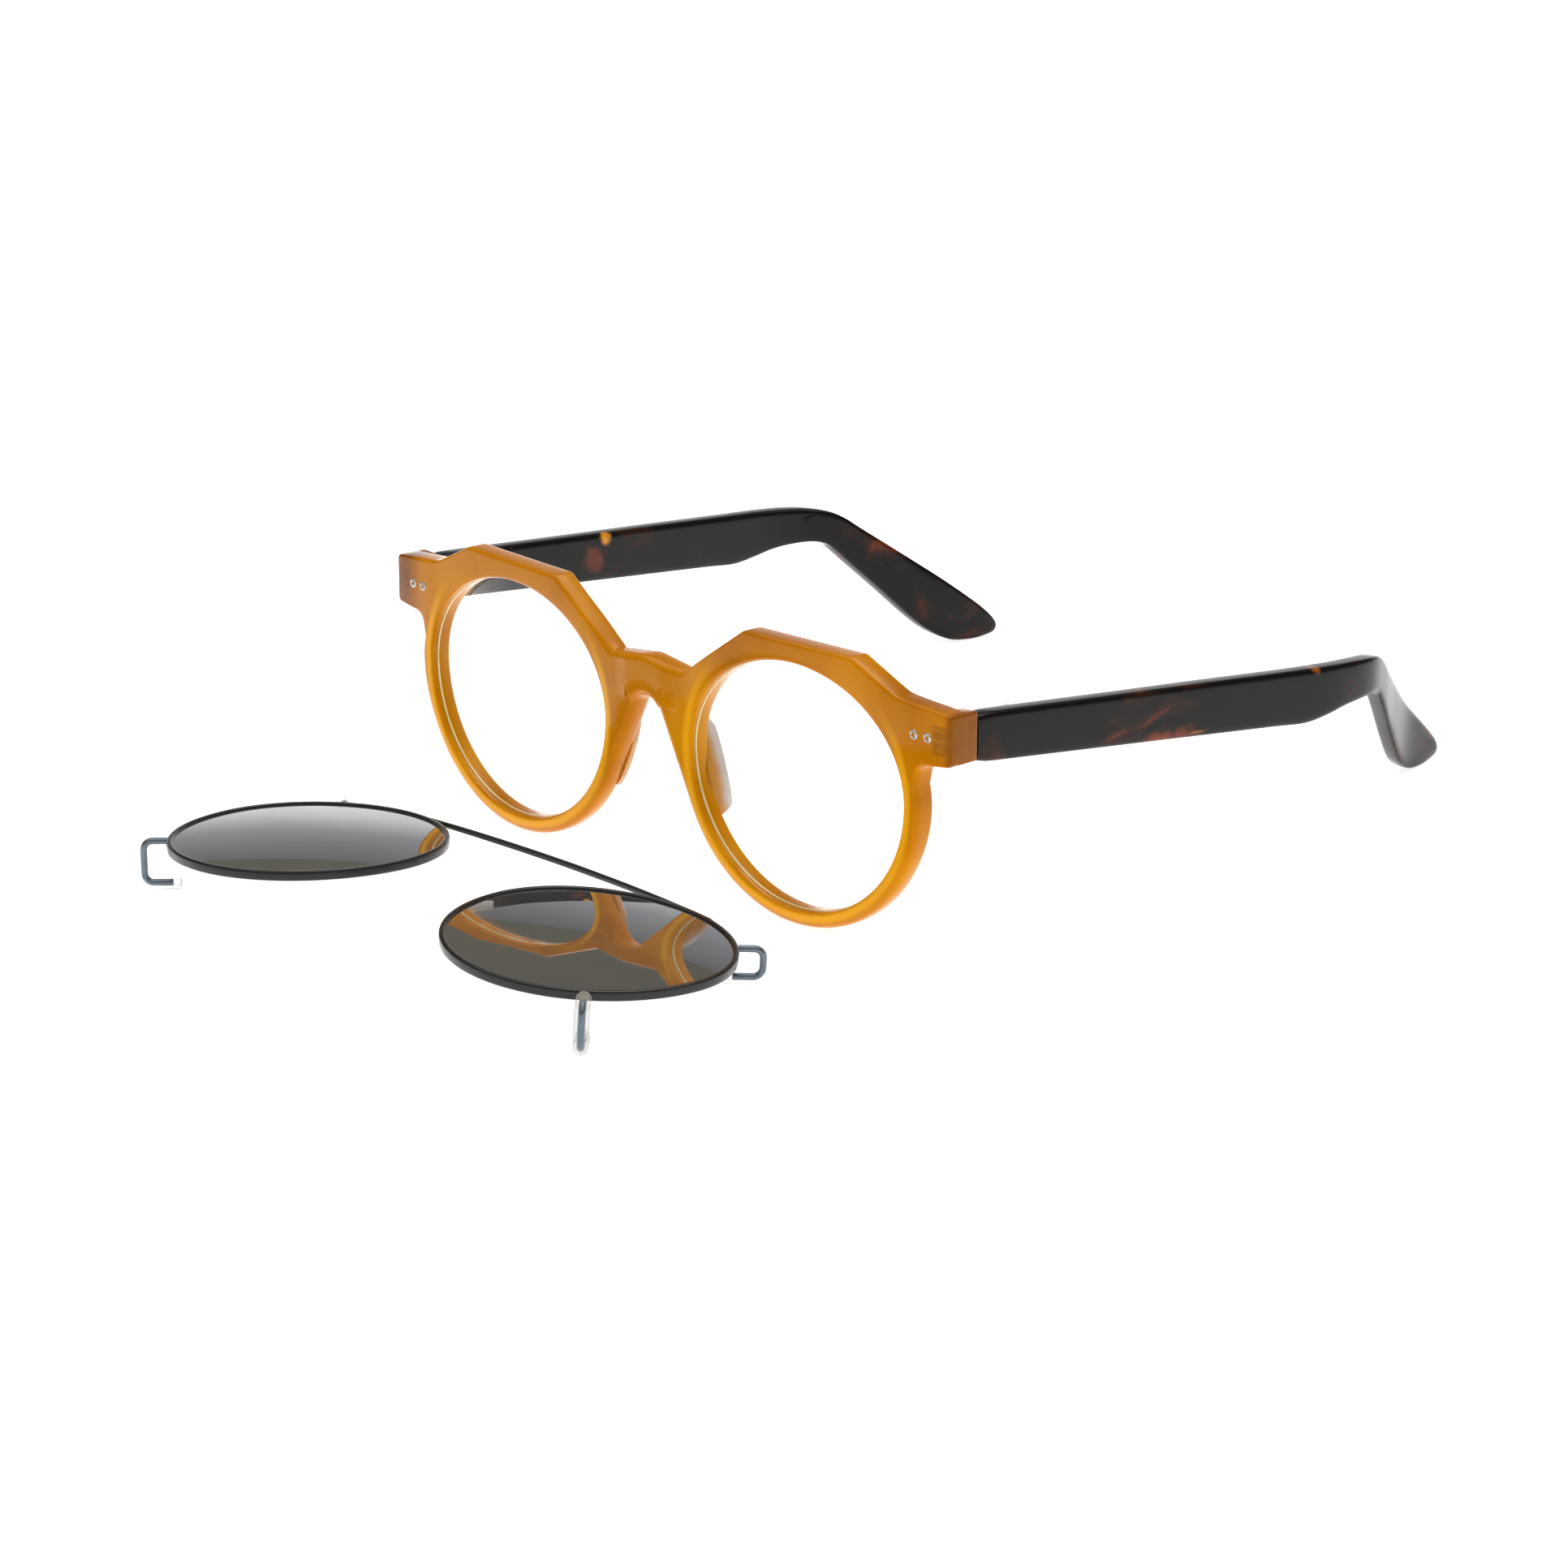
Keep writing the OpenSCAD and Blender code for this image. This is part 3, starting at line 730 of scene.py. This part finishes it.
for side, sign in sides:
    place = glassesPlace @ mirrored(sign)
    finishPiece(buildRivets(), side + "Rivets", place, "front", ["rivet", "rivetCore"], side + "_rivets",
                50)
    finishPiece(buildFrontLeaf(), side + "FrontLeaf", place, "front", ["darkHinge"], side + "_front_leaf")
    finishPiece(buildHingeScrew(), side + "HingeScrew", place, "front", ["screw"], side + "_hinge_screw")
    finishPiece(buildTempleLeaf(), side + "TempleLeaf", place, side + "_temple", ["lightHinge"],
                side + "_temple_leaf")
print("rivets and hinges built")

temple = {
    # top y and z, bottom y and z
    "stations": [
        (9.1, 17.25, 9.1, 9.25), (20, 16.35, 20, 8.15), (40, 14.6, 40, 6.1), (60, 12.9, 60, 4.05),
        (74, 11.65, 74, 2.6), (81, 11.05, 81, 1.85), (86, 10.65, 86, 2.25), (91, 10.25, 90.5, 2.95),
        (95, 9.9, 94.5, 3.2), (99, 9.4, 98.2, 3.2), (102.4, 8.6, 100.6, 2.9), (105, 7.2, 102.2, 2.2),
        (107.4, 5.3, 103.6, 0.9), (112, 1.75, 106.6, -2.3), (117, -2.1, 110, -5.9),
        (122, -5.9, 113.4, -9.6), (126.6, -9.4, 116.4, -12.8), (130, -12.1, 119.4, -15.5),
        (132.4, -14.4, 123, -17.5),
    ],
    "tip": [(133.3, -16.0, 126.4, -18.0), (132.9, -17.2, 129, -17.95), (131.8, -17.6, 130.2, -17.8)],
    # outside face: y, x
    "outer": [(9, 67.28), (50, 69.4), (80, 70.95), (90, 71.1), (98, 70.0), (105, 66.8), (113, 62.4),
              (121, 58.5), (128, 56.6), (134, 55.5)],
    "thick": 4.0,
    "squareness": 0.36,
    "lead": (0.92, 15),             # rounded front end: share of the size, rings
    "tipThinner": 0.55,
    "between": 5,                   # rings for each station
    "around": 44,
}


def smoothTable(table, t):  # cubic through pairs of t and value
    t = max(table[0][0], min(table[-1][0], t))
    i = max(k for k in range(len(table) - 1) if table[k][0] <= t)
    (t0, a), (t1, b) = table[i], table[i + 1]
    tBefore, aBefore = table[max(i - 1, 0)]
    tAfter, bAfter = table[min(i + 2, len(table) - 1)]
    span, f = t1 - t0, (t - t0) / (t1 - t0)
    leave, arrive = (b - aBefore) / (t1 - tBefore) * span, (bAfter - a) / (tAfter - t0) * span
    return ((2 * f ** 3 - 3 * f * f + 1) * a + (f ** 3 - 2 * f * f + f) * leave
            + (3 * f * f - 2 * f ** 3) * b + (f ** 3 - f * f) * arrive)


def squared(value, power):
    return math.copysign(abs(value) ** power, value)


def buildTemple():
    bm = bmesh.new()
    rows = temple["stations"] + temple["tip"]
    tables = [[(i, row[c]) for i, row in enumerate(rows)] for c in range(4)]
    rings, count = [], (len(rows) - 1) * temple["between"]
    for j in range(count + 1):
        t = j / temple["between"]
        topY, topZ, lowY, lowZ = (smoothTable(table, t) for table in tables)
        midY, midZ = (topY + lowY) / 2, (topZ + lowZ) / 2
        halfY, halfZ = (topY - lowY) / 2, (topZ - lowZ) / 2
        lead = min(1.0, temple["lead"][0] + j / temple["lead"][1])
        tail = max(0.0, (t - len(temple["stations"]) + 1) / len(temple["tip"]))
        half = temple["thick"] / 2 * (1 - temple["tipThinner"] * tail ** 2)
        ring = []
        for k in range(temple["around"]):
            a = 2 * math.pi * k / temple["around"]
            u, v = (squared(f, temple["squareness"]) * lead for f in (math.sin(a), math.cos(a)))
            y = midY + halfY * u
            x = smoothTable(temple["outer"], y) - temple["thick"] / 2 + half * v
            ring.append((x, y, midZ + halfZ * u))
        rings.append(ring)
    loft(bm, rings)
    return bm


for side, sign in sides:
    finishPiece(buildTemple(), side + "Temple", glassesPlace @ mirrored(sign), side + "_temple",
                ["tortoise"], side + "_temple", 50)
print("temples built")

clip = {
    "x": 35.0, "half": 24.0, "tall": 22.4, "form": 3.2, "upShare": 0.456,
    # section of the rim: inset, z
    "rim": [(0.0, -0.3), (0.06, -0.1), (0.2, 0.0), (0.7, 0.0), (0.88, -0.06), (0.95, -0.2), (0.95, -0.6),
            (1.0, -1.3), (0.9, -1.54), (0.72, -1.6), (0.25, -1.6), (0.06, -1.5), (0.0, -1.3)],
}
clip["up"] = 2 * clip["tall"] * clip["upShare"]
clip["down"] = 2 * clip["tall"] - clip["up"]
clip["mid"] = clip["tall"] - clip["up"]
sunLens = {"inset": 0.85, "face": 0.35, "back": 0.95, "dome": 0.95, "rings": 14, "centre": 0.02}


def clipLoop(inset, count=144):
    size = [clip[key] - inset for key in ("half", "up", "down")]
    oval = [ovalPoint(2 * math.pi * k / count, *size) for k in range(count)]
    return [(x, y + clip["mid"]) for x, y in oval]


def buildClipRim():
    bm = bmesh.new()
    loft(bm, [[(x, y, z) for x, y in clipLoop(inset)] for inset, z in clip["rim"]], False, True)
    return bm


def buildSunLens():
    bm = bmesh.new()
    rings = domeRings(clipLoop(sunLens["inset"]), (0, clip["mid"]), sunLens)
    loft(bm, [[(x, y, bulge - level) for x, level, y, bulge in ring] for ring in rings])
    return bm


bar = {"half": 39.5, "rise": 2.2, "sink": 0.55, "thick": 0.85, "middle": 1.0, "ends": 0.65, "top": -0.3,
       "rings": 60, "around": 20, "squareness": 0.6, "tipShare": 0.5}


def buildBar():
    bm = bmesh.new()
    rings = []
    for k in range(bar["rings"] + 1):
        f = 2 * k / bar["rings"] - 1
        slope = math.atan(-2 * bar["rise"] * f / bar["half"])
        tall = bar["middle"] + (bar["ends"] - bar["middle"]) * abs(f) ** 3
        shrink = bar["tipShare"] if abs(f) == 1 else 1.0
        y = clip["tall"] - bar["sink"] + bar["rise"] * (1 - f * f) + bar["thick"] / 2
        centre = (f * bar["half"], y, bar["top"] - bar["middle"] / 2)
        place = Matrix.Translation(centre) @ Matrix.Rotation(slope, 4, "Z")
        place = place @ Matrix.Diagonal((1, bar["thick"] / 2 * shrink, tall / 2 * shrink, 1))
        ring = []
        for j in range(bar["around"]):
            a = 2 * math.pi * j / bar["around"]
            u, v = (squared(g, bar["squareness"]) for g in (math.cos(a), math.sin(a)))
            ring.append(place @ Vector((0, u, v)))
        rings.append(ring)
    loft(bm, rings)
    return bm


hook = {
    "reach": 4.2, "bend": 1.5, "back": 3.2, "rootZ": -1.0, "bite": 0.3, "wire": 0.55,
    "sleeve": 1.2, "sleeveFrom": 0.4, "extra": 1.3, "bore": 0.61,
    "around": 28, "bendSteps": 8, "wireRound": 0.2, "sleeveRound": 0.16,
    "upper": {"angle": 53, "drop": 4.6}, "lower": {"angle": -44.5, "drop": 7.0},
}


def runTube(bm, radius, start, drop, back):  # out along x, round a bend, down, round, and back
    bend, run = hook["bend"], hook["reach"] - hook["bend"]
    place = Matrix.Translation((start, 0, 0)) @ Matrix.Rotation(math.pi / 2, 4, "Y")
    circle = bmesh.ops.create_circle(bm, segments=hook["around"], radius=radius, matrix=place)["verts"]
    first = [e for e in bm.edges if e.verts[0] in circle]

    def straight(ring, vector):
        grown = bmesh.ops.extrude_edge_only(bm, edges=ring)["geom"]
        moved = [g for g in grown if isinstance(g, bmesh.types.BMVert)]
        bmesh.ops.translate(bm, vec=vector, verts=moved)
        return [g for g in grown if isinstance(g, bmesh.types.BMEdge) and all(v in moved for v in g.verts)]

    def turn(ring, centre):
        made = bmesh.ops.spin(bm, geom=ring, cent=centre, axis=(0, 1, 0), angle=math.pi / 2,
                              steps=hook["bendSteps"])
        return [g for g in made["geom_last"] if isinstance(g, bmesh.types.BMEdge)]

    ring = straight(first, (run - start, 0, 0))
    ring = turn(ring, (run, 0, -bend))
    ring = straight(ring, (0, 0, 2 * bend - drop))
    ring = turn(ring, (run, 0, bend - drop))
    return first, straight(ring, (-back, 0, 0))


def buildWire(drop):
    bm = bmesh.new()
    first, last = runTube(bm, hook["wire"], -hook["bite"], drop, hook["back"])
    bmesh.ops.holes_fill(bm, edges=first + last, sides=0)
    roundEdges(bm, last, hook["wireRound"])
    return bm


def buildSleeve(drop):
    bm = bmesh.new()
    back = hook["back"] + hook["extra"]
    outer = runTube(bm, hook["sleeve"], hook["sleeveFrom"], drop, back)
    inner = runTube(bm, hook["bore"], hook["sleeveFrom"], drop, back)
    for a, b in zip(outer, inner):
        bmesh.ops.bridge_loops(bm, edges=a + b)
    roundEdges(bm, outer[0] + outer[1], hook["sleeveRound"])
    return bm


finishPiece(buildBar(), "clipBar", clipPlace, "clip", ["black"], "clip_bar")
for side, sign in sides:
    place = (clipPlace @ mirrored(sign) @ Matrix.Translation((clip["x"], 0, 0))
             @ Matrix.Rotation(math.radians(clip["form"]), 4, "Y"))
    finishPiece(buildClipRim(), side + "ClipRim", place, "clip", ["black"], side + "_clip_rim",
                60)
    finishPiece(buildSunLens(), side + "SunLens", place, "clip", ["smoke"], side + "_sun_lens",
                60)
    for level in ("upper", "lower"):
        angle = math.radians(hook[level]["angle"])
        x, y = ovalPoint(angle, clip["half"], clip["up"], clip["down"])
        hookPlace = (place @ Matrix.Translation((x, y + clip["mid"], hook["rootZ"]))
                     @ Matrix.Rotation(angle, 4, "Z"))
        name, node = side + level.capitalize(), side + "_" + level
        finishPiece(buildWire(hook[level]["drop"]), name + "Hook", hookPlace, "clip", ["hook"],
                    node + "_hook", 60)
        finishPiece(buildSleeve(hook[level]["drop"]), name + "Sleeve", hookPlace, "clip", ["sleeve"],
                    node + "_sleeve", 60)
print("clip-on built")

studio = {
    "floorHalf": 6.0, "floorTone": (0.90, 0.90, 0.90), "floorShade": 0.98, "floorGlow": 0.85,
    "worldStrength": 1.7,
    # height of the light's direction and its tone: pale low down, a dark flag, a warm ceiling, a soft box
    "sky": [(0.0, (0.60, 0.60, 0.61)), (0.07, (0.52, 0.52, 0.53)), (0.16, (0.25, 0.25, 0.26)),
            (0.262, (0.13, 0.13, 0.135)), (0.266, (0.10, 0.093, 0.067)), (0.62, (0.085, 0.08, 0.065)),
            (0.72, (0.85, 0.85, 0.85)), (1.0, (0.95, 0.95, 0.95))],
    # the flag leans, so its edge rises to one side
    "tilt": 0.75, "tiltFrom": 0.7845,
    "tiltSide": (-0.35, -0.6), "tiltHeight": (0.62, 0.5),
    "lampAt": (-0.25, 0.5, 1.2), "lampSize": 0.7, "lampPower": 5.0,
}


def buildStage():
    bm = bmesh.new()
    bmesh.ops.create_grid(bm, x_segments=2, y_segments=2, size=studio["floorHalf"])
    mesh = bpy.data.meshes.new("studioFloor")
    bm.to_mesh(mesh)
    bm.free()
    floor = bpy.data.objects.new("studioFloor", mesh)
    bpy.context.scene.collection.objects.link(floor)
    material, tree, shader = newMaterial("paleFloor")
    tone = noise(tree, objectCoords(tree), 3.0, 2.0)
    low = tuple(c * studio["floorShade"] for c in studio["floorTone"])
    plug(tree, shader.inputs["Base Color"], ramp(tree, tone, [(0.2, low), (0.8, studio["floorTone"])]))
    setShader(shader, Roughness=0.6, Specular_IOR_Level=0.2, Emission_Color=(1, 1, 1, 1),
              Emission_Strength=studio["floorGlow"])
    mesh.materials.append(material)


def buildWorld():
    world = bpy.data.worlds.new("studio")
    bpy.context.scene.world = world
    world.use_nodes = True
    tree = world.node_tree
    xyz = add(tree, "SeparateXYZ", {0: tree.nodes.new("ShaderNodeTexCoord").outputs["Generated"]})
    lean = times(tree, plus(tree, xyz.outputs[0], studio["tiltFrom"]), -studio["tilt"])
    lean = times(tree, lean, fade(tree, xyz.outputs[0], *studio["tiltSide"]))
    lean = times(tree, lean, fade(tree, xyz.outputs[2], *studio["tiltHeight"]))
    height = plus(tree, xyz.outputs[2], lean)
    tree.links.new(ramp(tree, height, studio["sky"], "LINEAR"), tree.nodes["Background"].inputs[0])
    tree.nodes["Background"].inputs[1].default_value = studio["worldStrength"]


def buildLamp():  # aims at the middle of the set
    data = bpy.data.lights.new("softBack", "AREA")
    data.size = studio["lampSize"]
    data.energy = studio["lampPower"]
    lamp = bpy.data.objects.new("softBack", data)
    bpy.context.scene.collection.objects.link(lamp)
    place = Vector(studio["lampAt"])
    lamp.matrix_world = Matrix.Translation(place) @ (-place).to_track_quat("-Z", "Y").to_matrix().to_4x4()


buildStage()
buildWorld()
buildLamp()

view = {
    "lens": 119.2546584, "sensor": 36.0, "near": 0.05,
    "at": (0.606885, -0.555451, 0.288874),
    "right": (0.680209, 0.732375, -0.030696), "up": (-0.21737, 0.241525, 0.945735),
    "back": (0.700047, -0.636626, 0.323484),
}


def buildCamera():
    data = bpy.data.cameras.new("camera")
    data.sensor_width = view["sensor"]
    data.lens = view["lens"]
    data.clip_start = view["near"]
    camera = bpy.data.objects.new("camera", data)
    bpy.context.scene.collection.objects.link(camera)
    pose = Matrix([view[key] for key in ("right", "up", "back")]).transposed().to_4x4()
    pose.translation = view["at"]
    camera.matrix_world = pose
    bpy.context.scene.camera = camera


buildCamera()
bpy.context.scene.view_settings.view_transform = "Standard"
print("studio and camera ready")
